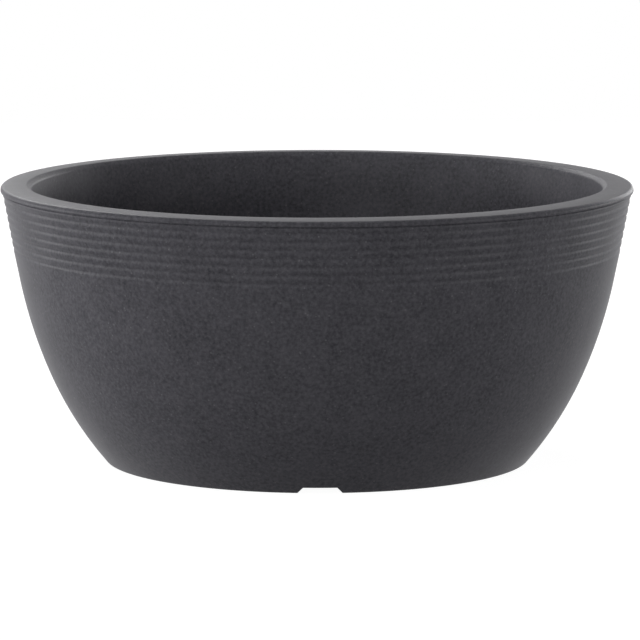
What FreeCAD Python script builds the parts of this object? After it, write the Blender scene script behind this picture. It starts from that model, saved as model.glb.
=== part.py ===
import FreeCAD, Part
import math
import os

# A round bowl planter moulded in thick composite, a perforated disc that stands
# on the floor inside it, and the rubber plug of its drain hole.
# Millimetres, +Z up. The origin is the centre of the circle that the bowl stands on,
# and the drain notch that faces the viewer is on -Y.

os.makedirs("parts", exist_ok=True)

# Bowl: overall sizes
rim_diameter = 400.0
height = 176.0
foot_diameter = 268.0
wall = 16.0
floor_thickness = 14.0

# Bowl: outer curve, its lean at the foot and at the top as shares of the lean from foot to lip
foot_lean_share = 1.967
taper_share = 0.515
plain_taper = 16.4

# Bowl: rim, its top falling a little from the mouth to the lip
rim_width = 19.5
rim_fall = 0.4
lip_height = 4.0
lip_overhang = 1.05
lip_top_radius = 2.4
mouth_round = 2.5

# Bowl: flats in the rounds of the lip, the mouth and the inside corner
round_flats = 2

# Bowl: grooves under the lip
groove_count = 6
groove_pitch = 5.25
groove_depth = 0.6
first_crest_drop = 4.9

# Bowl: inside corner, foot ring, drain hole
floor_corner_radius = 24.0
foot_ring_width = 15.0
recess_depth = 3.3
recess_draft = 1.5
notch_count = 3
notch_mouth_width = 28.0
notch_top_width = 21.0
drain_hole_diameter = 24.0

# Disc
reservoir_depth = 36.0
disc_thickness = 3.0
disc_edge_clearance = 2.5
leg_count = 6
leg_width = 20.0
leg_thickness = 2.5
leg_clearance = 8.5
drip_ring_count = 2
drip_slot_length = 14.0
drip_slot_width = 4.0

# Plug
plug_clearance = 0.3
plug_tip_setback = 0.5
plug_head_diameter = 36.0
plug_head_thickness = 3.0
pull_tab_width = 13.0
pull_tab_thickness = 4.5
pull_tab_height = 8.0
pull_tab_arch = 4.0

# Past a face, for a clean cut
overrun = 5.0

rim_radius = rim_diameter / 2
foot_radius = foot_diameter / 2
lip_level = height - lip_height
neck_radius = rim_radius - lip_overhang
mean_lean = math.atan((neck_radius - foot_radius) / lip_level)
foot_lean = mean_lean * foot_lean_share
taper = mean_lean * taper_share
last_crest = first_crest_drop + groove_count * groove_pitch
floor_level = recess_depth + floor_thickness


def at(radius, level):
    return FreeCAD.Vector(radius, 0, level)


def line(start, end):
    return Part.LineSegment(start, end).toShape()


# The point of a circle half way along the shorter arc between two of its points
def half_way(centre, radius, start, end):
    towards = (start + end) / 2 - centre
    towards.normalize()
    return centre + towards * radius


# The shorter arc from start to end on the circle of that centre and radius, in two spans
def arc(centre, radius, start, end):
    middle = half_way(centre, radius, start, end)
    first = Part.Arc(start, half_way(centre, radius, start, middle), middle)
    last = Part.Arc(middle, half_way(centre, radius, middle, end), end)
    return [first.toShape(), last.toShape()]


# The way up a wall that leans out by an angle, and the way square to it, into the bowl
def up_wall(angle):
    return at(math.sin(angle), math.cos(angle))


def into_bowl(angle):
    return at(-math.cos(angle), math.sin(angle))


# A point of the band, by its distance down the wall from the lip and its depth into it
def on_band(down, depth):
    return at(neck_radius, lip_level) - up_wall(taper) * down + into_bowl(taper) * depth


# Centre and radius of the circle that touches a lean at one point and passes another
def circle_touching(point, angle, other):
    across = other - point
    radius = across.dot(across) / (2 * across.dot(into_bowl(angle)))
    return point + into_bowl(angle) * radius, radius


wall_start = at(foot_radius, 0)
wall_end = on_band(last_crest + plain_taper, groove_depth / 2)


# The point where two arcs of equal tangent length, one off each end of the curve, meet
def meeting_point():
    across = wall_end - wall_start
    along = up_wall(foot_lean) + up_wall(taper)
    a = 2 - 2 * up_wall(foot_lean).dot(up_wall(taper))
    b = 2 * across.dot(along)
    tangent = (math.sqrt(b * b + 4 * a * across.dot(across)) - b) / (2 * a)
    low = wall_start + up_wall(foot_lean) * tangent
    high = wall_end - up_wall(taper) * tangent
    return (low + high) / 2


wall_meet = meeting_point()
low_centre, low_radius = circle_touching(wall_start, foot_lean, wall_meet)
high_centre, high_radius = circle_touching(wall_end, taper, wall_meet)


# The inner wall is straight down from the mouth, follows the outer curve to where the arcs meet,
# then runs on straight
meet_lean = math.asin((low_centre.z - wall_meet.z) / low_radius)
inner_end = wall_end + into_bowl(taper) * wall
inner_meet = wall_meet + into_bowl(meet_lean) * wall
inner_high_radius = high_radius - wall


def inner_radius_at(level):
    if level < inner_meet.z:
        return inner_meet.x - (inner_meet.z - level) * math.tan(meet_lean)
    return high_centre.x + math.sqrt(inner_high_radius ** 2 - (high_centre.z - level) ** 2)


# From the bottom up: the fade from the plain wall, the grooves and the half groove under the lip
def band_points():
    points = [wall_end]
    for groove in range(groove_count):
        down = last_crest - groove * groove_pitch
        points.append(on_band(down, 0))
        points.append(on_band(down - groove_pitch / 2, groove_depth))
    points.append(on_band(first_crest_drop, 0))
    points.append(on_band(0, groove_depth))
    return points


def lines(points):
    return [line(start, end) for start, end in zip(points, points[1:])]


# A round as equal flats, from one angle to another, each measured up from level
def flat_round(centre, radius, start_angle, end_angle):
    points = []
    for step in range(round_flats + 1):
        angle = math.radians(start_angle + (end_angle - start_angle) * step / round_flats)
        points.append(centre + at(math.cos(angle), math.sin(angle)) * radius)
    return points


# The rim from under the lip, over the top and round into the mouth, to the inner wall
def rim_points():
    lip_shoulder = at(rim_radius - lip_top_radius, height - rim_fall - lip_top_radius)
    mouth_shoulder = at(rim_radius - rim_width + mouth_round, height - mouth_round)
    points = [at(rim_radius, lip_level)]
    points += flat_round(lip_shoulder, lip_top_radius, 0, 90)
    points += flat_round(mouth_shoulder, mouth_round, 90, 180)
    return points + [inner_end]


# The round between the inner wall and the floor touches both of them
corner_level = floor_level + floor_corner_radius
flat_floor_radius = inner_radius_at(corner_level) - floor_corner_radius / math.cos(meet_lean)


def floor_corner():
    centre = at(flat_floor_radius, corner_level)
    return flat_round(centre, floor_corner_radius, -math.degrees(meet_lean), -90)


def bowl_outline():
    recess_radius = foot_radius - foot_ring_width
    foot = [
        at(0, recess_depth),
        at(recess_radius - recess_draft, recess_depth),
        at(recess_radius, 0),
        wall_start,
    ]
    inside = [inner_meet] + floor_corner() + [at(0, floor_level), at(0, recess_depth)]
    edges = lines(foot)
    edges += arc(low_centre, low_radius, wall_start, wall_meet)
    edges += arc(high_centre, high_radius, wall_meet, wall_end)
    edges += lines(band_points() + rim_points())
    edges += arc(high_centre, inner_high_radius, inner_end, inner_meet)
    edges += lines(inside)
    return Part.Wire(edges)


def turned(wire):
    axis = FreeCAD.Vector(0, 0, 1)
    return Part.Face(wire).revolve(FreeCAD.Vector(0, 0, 0), axis, 360)


# A notch through the foot ring on -Y, its top level with the recess under the floor
def notch():
    start = foot_radius - foot_ring_width - recess_draft - overrun
    reach = foot_ring_width + recess_draft + 2 * overrun + recess_depth
    slope = (notch_mouth_width - notch_top_width) / 2 / recess_depth
    low_half = notch_mouth_width / 2 + slope * overrun
    top_half = notch_top_width / 2
    corners = [
        FreeCAD.Vector(-low_half, -start, -overrun),
        FreeCAD.Vector(low_half, -start, -overrun),
        FreeCAD.Vector(top_half, -start, recess_depth),
        FreeCAD.Vector(-top_half, -start, recess_depth),
    ]
    outline = Part.makePolygon(corners + corners[:1])
    return Part.Face(outline).extrude(FreeCAD.Vector(0, -reach, 0))


# Copies of a shape, evenly spaced round the axis
def round_axis(shape, count):
    copies = []
    for step in range(count):
        copy = shape.copy()
        copy.rotate(FreeCAD.Vector(0, 0, 0), FreeCAD.Vector(0, 0, 1), 360 * step / count)
        copies.append(copy)
    return copies


def make_bowl():
    body = turned(bowl_outline())
    hole = Part.makeCylinder(drain_hole_diameter / 2, floor_level + overrun)
    return body.cut(round_axis(notch(), notch_count) + [hole])


disc_underside = floor_level + reservoir_depth
disc_edge = inner_radius_at(disc_underside) - disc_edge_clearance
leg_ring_radius = flat_floor_radius - leg_clearance - leg_width / 2


# The disc stands on its legs, with its edge clear of the wall all round
def make_disc():
    disc = Part.makeCylinder(disc_edge, disc_thickness, at(0, disc_underside))
    disc = disc.fuse(round_axis(disc_leg(), leg_count))
    return disc.cut(drip_slots()).removeSplitter()


# Two crossed ribs, from the floor up into the plate
def disc_leg():
    centre = at(leg_ring_radius, floor_level)
    length = reservoir_depth + disc_thickness / 2
    along = FreeCAD.Vector(leg_width / 2, leg_thickness / 2, 0)
    across = FreeCAD.Vector(leg_thickness / 2, leg_width / 2, 0)
    rib = Part.makeBox(leg_width, leg_thickness, length, centre - along)
    return rib.fuse(Part.makeBox(leg_thickness, leg_width, length, centre - across))


# Rings of radial slots, evenly spaced inside the ring of legs, and one between it and the edge
def drip_slots():
    slots = []
    leg_ring = drip_ring_count + 1
    middles = [leg_ring_radius * ring / leg_ring for ring in range(1, leg_ring)]
    middles.append((leg_ring_radius + leg_width / 2 + disc_edge) / 2)
    slots_in_ring = [leg_count * ring for ring in range(1, leg_ring)] + [leg_count * (leg_ring + 1)]
    side = drip_slot_width / 2
    depth = disc_thickness + 2 * overrun
    for middle, count in zip(middles, slots_in_ring):
        corner = FreeCAD.Vector(middle - drip_slot_length / 2, -side, disc_underside - overrun)
        slot = Part.makeBox(drip_slot_length, drip_slot_width, depth, corner)
        slots += round_axis(slot, count)
    return slots


# The plug hangs in the drain hole by its head
def make_plug():
    shank = drain_hole_diameter / 2 - plug_clearance
    tip_level = recess_depth + plug_tip_setback
    head = plug_head_diameter / 2
    head_top = floor_level + plug_head_thickness
    outline = lines([
        at(0, tip_level),
        at(shank, tip_level),
        at(shank, floor_level),
        at(head, floor_level),
        at(head, head_top),
        at(0, head_top),
        at(0, tip_level),
    ])
    return turned(Part.Wire(outline)).fuse(pull_tab(head_top)).removeSplitter()


# The ear that the plug is pulled by, with an arched top
def pull_tab(head_top):
    side = pull_tab_width / 2
    shoulder = head_top + pull_tab_height - pull_tab_arch
    outline = [
        line(at(-side, floor_level), at(side, floor_level)),
        line(at(side, floor_level), at(side, shoulder)),
        Part.Arc(at(side, shoulder), at(0, head_top + pull_tab_height), at(-side, shoulder)).toShape(),
        line(at(-side, shoulder), at(-side, floor_level)),
    ]
    tab = Part.Face(Part.Wire(outline)).extrude(FreeCAD.Vector(0, pull_tab_thickness, 0))
    tab.translate(FreeCAD.Vector(0, -pull_tab_thickness / 2, 0))
    return tab


make_bowl().exportStep("parts/bowl.step")
make_disc().exportStep("parts/drainage_disc.step")
make_plug().exportStep("parts/drain_plug.step")
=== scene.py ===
import bmesh
import bpy
import math
from mathutils import Matrix, Vector


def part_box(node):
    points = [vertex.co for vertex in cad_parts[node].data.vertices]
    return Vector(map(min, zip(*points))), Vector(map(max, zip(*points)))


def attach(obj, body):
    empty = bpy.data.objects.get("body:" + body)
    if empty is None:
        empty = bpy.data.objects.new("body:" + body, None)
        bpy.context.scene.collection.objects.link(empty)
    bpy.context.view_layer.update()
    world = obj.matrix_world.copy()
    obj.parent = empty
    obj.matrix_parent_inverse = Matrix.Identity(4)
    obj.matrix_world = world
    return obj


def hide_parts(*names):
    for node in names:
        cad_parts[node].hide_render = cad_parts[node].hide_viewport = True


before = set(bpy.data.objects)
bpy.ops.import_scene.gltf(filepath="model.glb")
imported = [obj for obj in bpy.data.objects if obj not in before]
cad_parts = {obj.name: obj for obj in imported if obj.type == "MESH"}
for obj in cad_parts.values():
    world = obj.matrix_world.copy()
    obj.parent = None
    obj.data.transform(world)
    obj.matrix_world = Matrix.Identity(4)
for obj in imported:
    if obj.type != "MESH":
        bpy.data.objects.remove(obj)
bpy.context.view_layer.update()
print("frame loaded:", ", ".join(sorted(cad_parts)))

mm = 0.001
weldDistance = 0.002 * mm  # points of a wire nearer than this become one


# Outlines are drawn as wires in the XZ plane, and the round ones turned about the bowl's axis

def at(radius, level):
    return Vector((radius, 0, level))


def startWire(point):
    bm = bmesh.new()
    return bm, bm.verts.new(point)


def runTo(bm, vert, point):
    grown = bmesh.ops.extrude_vert_indiv(bm, verts=[vert])["verts"][0]
    grown.co = point
    return grown


def runThrough(bm, vert, points):
    grown = []
    for point in points:
        vert = runTo(bm, vert, point)
        grown.append(vert)
    return grown


def sweepArc(bm, vert, centre, angle, steps):
    # a positive angle turns from +X towards +Z
    made = bmesh.ops.spin(bm, geom=[vert], cent=centre, axis=(0, -1, 0), angle=angle,
                          steps=steps, use_merge=False, use_duplicate=False)
    return made["geom_last"][0]


def softenCorners(bm, verts, width, segments):
    bmesh.ops.bevel(bm, geom=verts, offset=width, offset_type="OFFSET", affect="VERTICES",
                    segments=segments, profile=0.5, material=-1)


def turnWire(bm, steps):
    bmesh.ops.spin(bm, geom=bm.verts[:] + bm.edges[:], cent=(0, 0, 0), axis=(0, 0, 1),
                   angle=math.tau, steps=steps, use_merge=True, use_duplicate=False)
    bmesh.ops.remove_doubles(bm, verts=bm.verts[:], dist=weldDistance)
    bmesh.ops.recalc_face_normals(bm, faces=bm.faces[:])


def newPiece(name, bm):
    mesh = bpy.data.meshes.new(name)
    bm.to_mesh(mesh)
    bm.free()
    piece = bpy.data.objects.new(name, mesh)
    bpy.context.scene.collection.objects.link(piece)
    return piece


def boolean(piece, tool, operation):
    cut = piece.modifiers.new(operation.lower(), "BOOLEAN")
    cut.operation = operation
    cut.solver = "EXACT"
    cut.object = tool
    depsgraph = bpy.context.evaluated_depsgraph_get()
    made = bpy.data.meshes.new_from_object(piece.evaluated_get(depsgraph))
    piece.modifiers.remove(cut)
    piece.data = made
    bpy.data.objects.remove(tool)


def finishPiece(piece, material, sharpAngle, body, node):
    piece.data.materials.clear()
    piece.data.materials.append(material)
    piece.data.shade_smooth()
    piece.data.set_sharp_from_angle(angle=math.radians(sharpAngle))
    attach(piece, body)
    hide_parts(node)
    print(piece.name, "made:", len(piece.data.polygons), "faces")


# Grain, mottling and specks of a moulded surface, shared by the materials of all three pieces

def newGroup(name, inputs, outputs):
    group = bpy.data.node_groups.new(name, "ShaderNodeTree")
    for label in inputs:
        group.interface.new_socket(name=label, in_out="INPUT", socket_type="NodeSocketFloat")
    for label in outputs:
        group.interface.new_socket(name=label, in_out="OUTPUT", socket_type="NodeSocketFloat")
    return group, group.nodes.new("NodeGroupInput"), group.nodes.new("NodeGroupOutput")


def addNoise(nodes, links, coordinates, scale, detail, roughness):
    noise = nodes.new("ShaderNodeTexNoise")
    noise.inputs["Detail"].default_value = detail
    noise.inputs["Roughness"].default_value = roughness
    links.new(coordinates, noise.inputs["Vector"])
    links.new(scale, noise.inputs["Scale"])
    return noise.outputs["Fac"]


grainPattern = dict(
    mottleDetail=4, mottleRoughness=0.55, grainDetail=3, grainRoughness=0.6,
    speckPick=0.68,  # more leaves fewer cells with a speck
)


def mouldedGrain(pattern):
    group, taken, given = newGroup(
        "mouldedGrain", ["Mottle Scale", "Grain Scale", "Speck Scale", "Speck Size"],
        ["Mottle", "Grain", "Specks"])
    nodes, links = group.nodes, group.links
    place = nodes.new("ShaderNodeTexCoord").outputs["Object"]
    mottle = addNoise(nodes, links, place, taken.outputs["Mottle Scale"],
                      pattern["mottleDetail"], pattern["mottleRoughness"])
    grain = addNoise(nodes, links, place, taken.outputs["Grain Scale"],
                     pattern["grainDetail"], pattern["grainRoughness"])
    cells = nodes.new("ShaderNodeTexVoronoi")
    cells.inputs["Randomness"].default_value = 1
    links.new(place, cells.inputs["Vector"])
    links.new(taken.outputs["Speck Scale"], cells.inputs["Scale"])
    specks = nodes.new("ShaderNodeMapRange")  # 1 in the middle of a cell, 0 past the speck's size
    specks.interpolation_type = "SMOOTHSTEP"
    links.new(cells.outputs["Distance"], specks.inputs["Value"])
    links.new(taken.outputs["Speck Size"], specks.inputs["From Max"])
    specks.inputs["From Min"].default_value = 0
    specks.inputs["To Min"].default_value = 1
    specks.inputs["To Max"].default_value = 0
    picked = nodes.new("ShaderNodeMath")  # only some cells hold a speck
    picked.operation = "GREATER_THAN"
    picked.inputs[1].default_value = pattern["speckPick"]
    links.new(cells.outputs["Color"], picked.inputs[0])
    kept = nodes.new("ShaderNodeMath")
    kept.operation = "MULTIPLY"
    links.new(specks.outputs["Result"], kept.inputs[0])
    links.new(picked.outputs["Value"], kept.inputs[1])
    links.new(mottle, given.inputs["Mottle"])
    links.new(grain, given.inputs["Grain"])
    links.new(kept.outputs["Value"], given.inputs["Specks"])
    return group


grainGroup = mouldedGrain(grainPattern)


def rangeOf(nodes, links, value, low, high, fromLow=0.3, fromHigh=0.7):
    # a noise lies mostly between 0.3 and 0.7, so those are the ends of the range that is spread
    spread = nodes.new("ShaderNodeMapRange")
    spread.inputs["From Min"].default_value = fromLow
    spread.inputs["From Max"].default_value = fromHigh
    spread.inputs["To Min"].default_value = low
    spread.inputs["To Max"].default_value = high
    links.new(value, spread.inputs["Value"])
    return spread.outputs["Result"]


def blendColour(nodes, links, share, first, second):
    mix = nodes.new("ShaderNodeMix")
    mix.data_type = "RGBA"
    links.new(share, mix.inputs["Factor"])
    for colour, socket in ((first, mix.inputs["A"]), (second, mix.inputs["B"])):
        if isinstance(colour, bpy.types.NodeSocket):
            links.new(colour, socket)
        else:
            socket.default_value = (*colour, 1)
    return mix.outputs["Result"]


def mouldedMaterial(look):
    material = bpy.data.materials.new(look["name"])
    material.use_nodes = True
    nodes, links = material.node_tree.nodes, material.node_tree.links
    shader = nodes["Principled BSDF"]
    grain = nodes.new("ShaderNodeGroup")
    grain.node_tree = grainGroup
    grain.inputs["Mottle Scale"].default_value = look["mottleScale"]
    grain.inputs["Grain Scale"].default_value = look["grainScale"]
    grain.inputs["Speck Scale"].default_value = look["speckScale"]
    grain.inputs["Speck Size"].default_value = look["speckSize"]
    mottle, fine = grain.outputs["Mottle"], grain.outputs["Grain"]
    patches = rangeOf(nodes, links, mottle, 0, 1)
    mottled = blendColour(nodes, links, patches, look["dark"], look["light"])
    grains = rangeOf(nodes, links, fine, 0, look["grainTone"])
    grained = blendColour(nodes, links, grains, mottled, look["grainColour"])
    specks = rangeOf(nodes, links, grain.outputs["Specks"], 0, look["speckTone"], 0, 1)
    speckled = blendColour(nodes, links, specks, grained, look["speckColour"])
    links.new(speckled, shader.inputs["Base Color"])
    links.new(rangeOf(nodes, links, fine, *look["roughness"]), shader.inputs["Roughness"])
    bump = nodes.new("ShaderNodeBump")
    bump.inputs["Strength"].default_value = look["bumpStrength"]
    bump.inputs["Distance"].default_value = look["bumpDepth"]
    links.new(fine, bump.inputs["Height"])
    links.new(bump.outputs["Normal"], shader.inputs["Normal"])
    shader.inputs["IOR"].default_value = look["ior"]
    shader.inputs["Specular IOR Level"].default_value = look["specular"]
    return material


# Bowl: the turned moulding

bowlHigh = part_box("bowl")[1]

bowl = dict(
    rimRadius=bowlHigh.x, height=bowlHigh.z,
    footRadius=134 * mm, footRound=0.9 * mm, footLeanShare=1.967, taperShare=0.515,
    plainTaper=14.05 * mm, wall=16 * mm, floorLevel=17.3 * mm,
    lipHeight=4.0 * mm, lipOverhang=1.05 * mm, lipRound=2.4 * mm, lipFootRound=0.3 * mm,
    undercutDepth=1.4 * mm, undercutHeight=1.1 * mm,
    rimWidth=19.5 * mm, rimFall=0.6 * mm, mouthSlope=2.6 * mm, mouthRound=0.8 * mm,
    grooves=7, groovePitch=5.25 * mm, grooveDepth=0.5 * mm, firstCrest=2.0 * mm, waveSteps=12,
    grooveSharpness=3,  # 2 is an even ripple, and more makes the valleys narrow
    cornerRound=24 * mm, ringWidth=15 * mm, recess=3.3 * mm, recessDraft=1.5 * mm,
    ringRound=0.8 * mm, drainRadius=12 * mm, drainRound=0.8 * mm,
    notches=3, notchMouth=28 * mm, notchTop=21 * mm, notchHeight=4 * mm, notchPast=12 * mm,
    notchInnerPast=1 * mm,
    curveSteps=24, cornerSteps=10, edgeSteps=8, roundSteps=4, smallRoundSteps=3, lipFootSteps=2,
    turnSteps=288, sharpAngle=32,
    look=dict(
        name="charcoal composite",
        dark=(0.046, 0.045, 0.053), light=(0.070, 0.068, 0.079),
        grainColour=(0.166, 0.163, 0.180), grainTone=0.55,
        speckColour=(0.24, 0.24, 0.25), speckTone=0.55,
        mottleScale=45, grainScale=470, speckScale=330, speckSize=0.26,
        roughness=(0.36, 0.48), ior=1.5, specular=0.07,
        bumpStrength=0.35, bumpDepth=0.15 * mm,
    ),
)


def upWall(lean):
    return at(math.sin(lean), math.cos(lean))


def intoBowl(lean):
    return at(-math.cos(lean), math.sin(lean))


def circleCentre(point, lean, other):
    # of the circle that follows the lean at one point and runs through another
    across = other - point
    return point + intoBowl(lean) * across.dot(across) / (2 * across.dot(intoBowl(lean)))


def wallCurve(size):
    # two arcs of equal tangents, from the foot to the straight upper wall
    neck = size["rimRadius"] - size["lipOverhang"]
    lipLevel = size["height"] - size["lipHeight"]
    lean = math.atan((neck - size["footRadius"]) / lipLevel)
    footLean, taper = lean * size["footLeanShare"], lean * size["taperShare"]
    lastCrest = size["firstCrest"] + size["grooves"] * size["groovePitch"]
    start = at(size["footRadius"], 0)
    end = at(neck, lipLevel) - upWall(taper) * (lastCrest + size["plainTaper"])
    end += intoBowl(taper) * size["grooveDepth"] / 2
    low, high = upWall(footLean), upWall(taper)
    across = end - start
    # the tangents' ends lie two tangents apart, which makes a quadratic in the tangent's length
    square = 2 - 2 * low.dot(high)
    linear = 2 * across.dot(low + high)
    tangent = (math.sqrt(linear * linear + 4 * square * across.dot(across)) - linear) / (2 * square)
    meet = (start + low * tangent + end - high * tangent) / 2
    lowCentre = circleCentre(start, footLean, meet)
    highCentre = circleCentre(end, taper, meet)
    meetLean = math.atan2(lowCentre.z - meet.z, meet.x - lowCentre.x)
    return dict(neck=neck, lipLevel=lipLevel, taper=taper, footLean=footLean, lastCrest=lastCrest,
                end=end, meet=meet, meetLean=meetLean, lowCentre=lowCentre, highCentre=highCentre)


def bandWave(size, curve):
    # ripples up the band, from the plain wall to the edge of the undercut below the lip
    top = at(curve["neck"], curve["lipLevel"])
    up, inward = upWall(curve["taper"]), intoBowl(curve["taper"])
    points = [top - up * curve["lastCrest"]]
    for step in range(1, size["grooves"] * size["waveSteps"] + 1):
        share = step / size["waveSteps"]
        depth = size["grooveDepth"] * abs(math.sin(math.pi * share)) ** size["grooveSharpness"]
        points.append(top - up * (curve["lastCrest"] - share * size["groovePitch"]) + inward * depth)
    points.append(top - up * size["undercutHeight"] + inward * size["grooveDepth"] / 2)
    return points


def makeBowl(size):
    curve = wallCurve(size)
    ringInner = size["footRadius"] - size["ringWidth"]
    mouth = size["rimRadius"] - size["rimWidth"]
    inward = intoBowl(curve["taper"]) * size["wall"]
    lowSweep = curve["footLean"] - curve["meetLean"]
    highSweep = curve["meetLean"] - curve["taper"]

    # underside, foot ring and outer wall
    bm, first = startWire(at(size["drainRadius"], size["recess"]))
    foot = runThrough(bm, first, [
        at(ringInner - size["recessDraft"], size["recess"]),
        at(ringInner, 0),
        at(size["footRadius"], 0),
    ])
    last = sweepArc(bm, foot[-1], curve["lowCentre"], lowSweep, size["curveSteps"])
    last = sweepArc(bm, last, curve["highCentre"], highSweep, size["curveSteps"])
    band = runThrough(bm, last, bandWave(size, curve))

    # undercut, lip and its rounded shoulder
    shoulderLevel = size["height"] - size["rimFall"] - size["lipRound"]
    lip = runThrough(bm, band[-1], [
        at(curve["neck"] - size["undercutDepth"], curve["lipLevel"]),
        at(size["rimRadius"], curve["lipLevel"]),
        at(size["rimRadius"], shoulderLevel),
    ])
    shoulder = at(size["rimRadius"] - size["lipRound"], shoulderLevel)
    last = sweepArc(bm, lip[-1], shoulder, math.pi / 2, size["edgeSteps"])

    # rim, sloped edge of the mouth, inside wall, corner and floor
    edge = runThrough(bm, last, [
        at(mouth + size["mouthSlope"], size["height"]),
        at(mouth, size["height"] - size["mouthSlope"]),
    ])
    last = runTo(bm, edge[-1], curve["end"] + inward)
    last = sweepArc(bm, last, curve["highCentre"], -highSweep, size["curveSteps"])
    cornerLevel = size["floorLevel"] + size["cornerRound"]
    innerMeet = curve["meet"] + intoBowl(curve["meetLean"]) * size["wall"]
    cornerX = innerMeet.x - (innerMeet.z - cornerLevel) * math.tan(curve["meetLean"])
    cornerCentre = at(cornerX - size["cornerRound"] / math.cos(curve["meetLean"]), cornerLevel)
    cornerStart = cornerCentre - intoBowl(curve["meetLean"]) * size["cornerRound"]
    last = runTo(bm, last, cornerStart)
    last = sweepArc(bm, last, cornerCentre, curve["meetLean"] - math.pi / 2, size["cornerSteps"])
    drain = runTo(bm, last, at(size["drainRadius"], size["floorLevel"]))
    bm.edges.new((drain, first))

    softenCorners(bm, [first, drain], size["drainRound"], size["smallRoundSteps"])
    softenCorners(bm, foot[:2], size["ringRound"], size["smallRoundSteps"])
    softenCorners(bm, foot[2:], size["footRound"], size["roundSteps"])
    softenCorners(bm, lip[:2], size["lipFootRound"], size["lipFootSteps"])
    softenCorners(bm, edge, size["mouthRound"], size["roundSteps"])
    turnWire(bm, size["turnSteps"])
    return newPiece("bowl_moulding", bm)


def notchCutter(size):
    # a wedge through the foot ring for each notch, the first on -Y, each narrower at its top
    bm = bmesh.new()
    inner = size["footRadius"] - size["ringWidth"] - size["recessDraft"] - size["notchInnerPast"]
    outer = size["footRadius"] + size["notchPast"]
    slope = (size["notchMouth"] - size["notchTop"]) / 2 / size["notchHeight"]
    lowHalf = size["notchMouth"] / 2 + slope * size["notchPast"]
    for turn in range(size["notches"]):
        made = bmesh.ops.create_cube(bm, size=1)["verts"]
        for vert in made:
            top = vert.co.z > 0
            half = size["notchTop"] / 2 if top else lowHalf
            vert.co = Vector((math.copysign(half, vert.co.x),
                              -inner if vert.co.y > 0 else -outer,
                              size["notchHeight"] if top else -size["notchPast"]))
        bmesh.ops.rotate(bm, verts=made, cent=(0, 0, 0),
                         matrix=Matrix.Rotation(math.tau * turn / size["notches"], 3, "Z"))
    bmesh.ops.recalc_face_normals(bm, faces=bm.faces[:])
    return newPiece("notch_cutter", bm)


bowlPiece = makeBowl(bowl)
boolean(bowlPiece, notchCutter(bowl), "DIFFERENCE")
finishPiece(bowlPiece, mouldedMaterial(bowl["look"]), bowl["sharpAngle"],
            "bowl", "bowl")


# Drainage disc: the plate on its legs, with every edge rounded as a moulding's are

disc = dict(
    edgeRound=0.5 * mm, edgeSteps=2, edgeAngle=math.radians(35),  # sharper edges than this are rounded
    flatAngle=math.radians(1), weldDistance=0.005 * mm, levelNormal=0.999, sharpAngle=32,
    look=dict(
        name="black disc plastic",
        dark=(0.020, 0.020, 0.022), light=(0.028, 0.028, 0.030),
        grainColour=(0.040, 0.040, 0.042), grainTone=0.2,
        speckColour=(0.05, 0.05, 0.05), speckTone=0.1,
        mottleScale=25, grainScale=1400, speckScale=700, speckSize=0.12,
        roughness=(0.36, 0.5), ior=1.5, specular=0.5,
        bumpStrength=0.2, bumpDepth=0.05 * mm,
    ),
)


def makeDisc(size):
    bm = bmesh.new()
    bm.from_mesh(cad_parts["drainage_disc"].data)
    bmesh.ops.remove_doubles(bm, verts=bm.verts[:], dist=size["weldDistance"])
    bmesh.ops.dissolve_limit(bm, angle_limit=size["flatAngle"], use_dissolve_boundaries=False,
                             verts=bm.verts[:], edges=bm.edges[:], delimit=set())
    edges = [edge for edge in bm.edges
             if edge.is_manifold and edge.calc_face_angle() > size["edgeAngle"]]
    bmesh.ops.bevel(bm, geom=edges, offset=size["edgeRound"], offset_type="OFFSET", affect="EDGES",
                    segments=size["edgeSteps"], profile=0.5, material=-1, clamp_overlap=True)
    bmesh.ops.triangulate(bm, faces=[face for face in bm.faces if len(face.verts) > 4])
    return newPiece("drainage_disc_moulding", bm)


discPiece = makeDisc(disc)
finishPiece(discPiece, mouldedMaterial(disc["look"]), disc["sharpAngle"],
            "disc", "drainage_disc")
for face in discPiece.data.polygons:
    if abs(face.normal.z) > disc["levelNormal"]:
        face.use_smooth = False  # the plate's flats take no shading from its rounded edges


# Drain plug: ribbed shank, thin head and pull tab

plugLow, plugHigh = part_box("drain_plug")

plug = dict(
    shank=11.7 * mm, tip=plugLow.z, floorLevel=bowl["floorLevel"], tipRound=1.2 * mm,
    headRadius=plugHigh.x, headThickness=3 * mm, headRound=1.0 * mm, dishDepth=0.5 * mm, dishShare=0.82,
    ribs=3, ribDepth=0.45 * mm, ribRise=0.8 * mm,
    tabWidth=13 * mm, tabThickness=4.5 * mm, tabTop=plugHigh.z, tabArch=4 * mm, tabRound=0.9 * mm,
    tabEdgeAngle=math.radians(40), ribSteps=2, tipSteps=3, headSteps=4, archSteps=12, tabRoundSteps=3,
    turnSteps=72, sharpAngle=35,
    look=dict(
        name="black plug rubber",
        dark=(0.016, 0.016, 0.016), light=(0.024, 0.024, 0.024),
        grainColour=(0.035, 0.035, 0.035), grainTone=0.25,
        speckColour=(0.05, 0.05, 0.048), speckTone=0.15,
        mottleScale=120, grainScale=1600, speckScale=900, speckSize=0.15,
        roughness=(0.6, 0.75), ior=1.5, specular=0.4,
        bumpStrength=0.2, bumpDepth=0.04 * mm,
    ),
)


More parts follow.
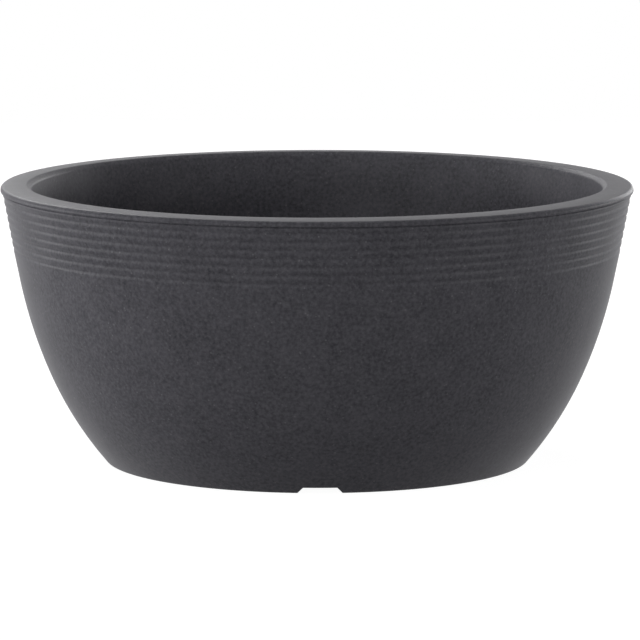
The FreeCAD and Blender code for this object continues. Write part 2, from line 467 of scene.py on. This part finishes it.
def makePlug(size):
    headTop = size["floorLevel"] + size["headThickness"]
    core = size["shank"] - size["ribDepth"]
    bm, first = startWire(at(0, size["tip"]))
    tip = runTo(bm, first, at(core, size["tip"]))
    points = []
    gap = (size["floorLevel"] - size["tip"] - size["tipRound"]) / (size["ribs"] + 1)
    for rib in range(1, size["ribs"] + 1):
        level = size["tip"] + size["tipRound"] + gap * rib
        points += [at(core, level - size["ribRise"]), at(size["shank"], level),
                   at(core, level + size["ribRise"])]
    ribs = runThrough(bm, tip, points + [at(core, size["floorLevel"])])
    head = runThrough(bm, ribs[-1], [at(size["headRadius"], size["floorLevel"]),
                                     at(size["headRadius"], headTop)])
    dishRadius, dishLevel = size["headRadius"] * size["dishShare"], headTop - size["dishDepth"]
    dish = runThrough(bm, head[-1], [at(dishRadius, headTop),
                                     at(dishRadius - size["dishDepth"], dishLevel)])
    runTo(bm, dish[-1], at(0, dishLevel))
    softenCorners(bm, ribs[:-1], size["ribRise"] / 2, size["ribSteps"])
    softenCorners(bm, head, size["headRound"], size["headSteps"])
    softenCorners(bm, [tip], size["tipRound"], size["tipSteps"])
    turnWire(bm, size["turnSteps"])
    return newPiece("drain_plug_moulding", bm)


def makeTab(size):
    # the tab's outline drawn upright, given its thickness, then its edges rounded
    foot = size["floorLevel"] + size["headThickness"] / 2
    shoulder = size["tabTop"] - size["tabArch"]
    side = size["tabWidth"] / 2
    radius = (side * side + size["tabArch"] ** 2) / (2 * size["tabArch"])
    centre = at(0, size["tabTop"] - radius)
    spread = 2 * math.asin(side / radius)
    bm, first = startWire(at(-side, foot))
    last = runThrough(bm, first, [at(side, foot), at(side, shoulder)])[-1]
    last = sweepArc(bm, last, centre, spread, size["archSteps"])
    bmesh.ops.remove_doubles(bm, verts=bm.verts[:], dist=weldDistance)
    bm.edges.new((last, first))
    bmesh.ops.contextual_create(bm, geom=bm.edges[:])
    grown = bmesh.ops.extrude_face_region(bm, geom=bm.faces[:])["geom"]
    bmesh.ops.translate(bm, vec=(0, size["tabThickness"], 0),
                        verts=[part for part in grown if isinstance(part, bmesh.types.BMVert)])
    bmesh.ops.translate(bm, vec=(0, -size["tabThickness"] / 2, 0), verts=bm.verts[:])
    bmesh.ops.recalc_face_normals(bm, faces=bm.faces[:])
    edges = [edge for edge in bm.edges if edge.calc_face_angle() > size["tabEdgeAngle"]]
    bmesh.ops.bevel(bm, geom=edges, offset=size["tabRound"], offset_type="OFFSET", affect="EDGES",
                    segments=size["tabRoundSteps"], profile=0.5, material=-1, clamp_overlap=True)
    return newPiece("pull_tab", bm)


plugPiece = makePlug(plug)
boolean(plugPiece, makeTab(plug), "UNION")
finishPiece(plugPiece, mouldedMaterial(plug["look"]), plug["sharpAngle"],
            "plug", "drain_plug")


# Studio: a pale floor, soft lamps, and the camera at the photograph's angle

studio = dict(
    floorRadius=2.1, floorSides=96, floorDrop=0.2 * mm, floorColour=(0.14, 0.14, 0.14),
    seenColour=(0.22, 0.22, 0.22), seenGlow=0.96,
    worldColour=(1.0, 1.0, 1.02), worldStrength=0.02,
)

# softboxes by their bearing from +X and their rise, both in degrees from the point they aim at
lamps = dict(
    reach=2.3, aim=0.09, low=(0.9, 0.4), high=(0.9, 0.9), lowRise=10,  # below this rise a box is low
    boxes=[
        dict(name="right back low", bearing=25, rise=4, power=10),
        dict(name="back right", bearing=60, rise=12, power=11),
        dict(name="back left", bearing=111, rise=30, power=13),
        dict(name="left back low", bearing=160, rise=4, power=15),
        dict(name="left low", bearing=190, rise=4, power=16),
        dict(name="left front", bearing=215, rise=16, power=9),
        dict(name="front left", bearing=250, rise=16, power=9),
        dict(name="right front low", bearing=330, rise=4, power=14),
        dict(name="top back", bearing=90, rise=72, power=10),
    ],
)

# the photograph's camera, fitted to it: metres, radians, pixels, and millimetres for its sensor
camera = dict(
    distance=3.2, height=0.5435, turn=math.radians(0.79), downTilt=0.14136,
    focalPixels=5087.4, framePixels=640, axisPixel=317.0, sensorWidth=36, clipEnd=50,
)


def backgroundRays(nodes, links):
    # 1 for the rays that show the background: the camera's, and those off gloss and through glass
    path = nodes.new("ShaderNodeLightPath")
    seen = path.outputs["Is Camera Ray"]
    for kind in ("Is Glossy Ray", "Is Transmission Ray"):
        either = nodes.new("ShaderNodeMath")
        either.operation = "MAXIMUM"
        links.new(seen, either.inputs[0])
        links.new(path.outputs[kind], either.inputs[1])
        seen = either.outputs["Value"]
    return seen


def makeFloor(size):
    bm = bmesh.new()
    bmesh.ops.create_circle(bm, cap_ends=True, segments=size["floorSides"], radius=size["floorRadius"])
    bmesh.ops.translate(bm, vec=(0, 0, -size["floorDrop"]), verts=bm.verts[:])
    floor = newPiece("studio_floor", bm)
    material = bpy.data.materials.new("pale floor")
    material.use_nodes = True
    nodes, links = material.node_tree.nodes, material.node_tree.links
    nodes.remove(nodes["Principled BSDF"])
    lit = nodes.new("ShaderNodeBsdfDiffuse")
    lit.inputs["Color"].default_value = (*size["floorColour"], 1)
    seen = nodes.new("ShaderNodeBsdfDiffuse")
    seen.inputs["Color"].default_value = (*size["seenColour"], 1)
    glow = nodes.new("ShaderNodeEmission")
    glow.inputs["Strength"].default_value = size["seenGlow"]
    bright = nodes.new("ShaderNodeAddShader")
    links.new(seen.outputs[0], bright.inputs[0])
    links.new(glow.outputs[0], bright.inputs[1])
    mix = nodes.new("ShaderNodeMixShader")
    links.new(backgroundRays(nodes, links), mix.inputs["Fac"])
    links.new(lit.outputs[0], mix.inputs[1])
    links.new(bright.outputs[0], mix.inputs[2])
    links.new(mix.outputs[0], nodes["Material Output"].inputs["Surface"])
    floor.data.materials.append(material)


def makeWorld(size):
    world = bpy.data.worlds.new("studio")
    bpy.context.scene.world = world
    world.use_nodes = True
    nodes, links = world.node_tree.nodes, world.node_tree.links
    around = nodes["Background"]
    around.inputs["Color"].default_value = (*size["worldColour"], 1)
    around.inputs["Strength"].default_value = size["worldStrength"]
    white = nodes.new("ShaderNodeBackground")
    white.inputs["Color"].default_value = (1, 1, 1, 1)
    mix = nodes.new("ShaderNodeMixShader")
    links.new(backgroundRays(nodes, links), mix.inputs["Fac"])
    links.new(around.outputs[0], mix.inputs[1])
    links.new(white.outputs[0], mix.inputs[2])
    links.new(mix.outputs[0], nodes["World Output"].inputs["Surface"])


def makeLamp(size, box):
    light = bpy.data.lights.new(box["name"] + " softbox", "AREA")
    light.shape = "RECTANGLE"
    light.size, light.size_y = size["low"] if box["rise"] < size["lowRise"] else size["high"]
    light.energy = box["power"]
    holder = bpy.data.objects.new(light.name, light)
    bpy.context.scene.collection.objects.link(holder)
    bearing, rise = math.radians(box["bearing"]), math.radians(box["rise"])
    target = Vector((0, 0, size["aim"]))
    level = math.cos(rise)
    outward = Vector((math.cos(bearing) * level, math.sin(bearing) * level, math.sin(rise)))
    holder.location = target + outward * size["reach"]
    holder.rotation_euler = (target - holder.location).to_track_quat("-Z", "Y").to_euler()


def makeCamera(view):
    lens = bpy.data.cameras.new("photo camera")
    lens.sensor_width = view["sensorWidth"]
    lens.lens = view["focalPixels"] * view["sensorWidth"] / view["framePixels"]
    lens.clip_end = view["clipEnd"]
    holder = bpy.data.objects.new("photo camera", lens)
    bpy.context.scene.collection.objects.link(holder)
    holder.location = (-view["distance"] * math.sin(view["turn"]),
                       -view["distance"] * math.cos(view["turn"]), view["height"])
    aside = (view["framePixels"] / 2 - view["axisPixel"]) / view["focalPixels"]
    holder.rotation_euler = (math.pi / 2 - view["downTilt"], 0, -view["turn"] - aside)
    bpy.context.scene.camera = holder


makeFloor(studio)
makeWorld(studio)
for box in lamps["boxes"]:
    makeLamp(lamps, box)
makeCamera(camera)
bpy.context.scene.view_settings.view_transform = "Standard"
print("studio ready")
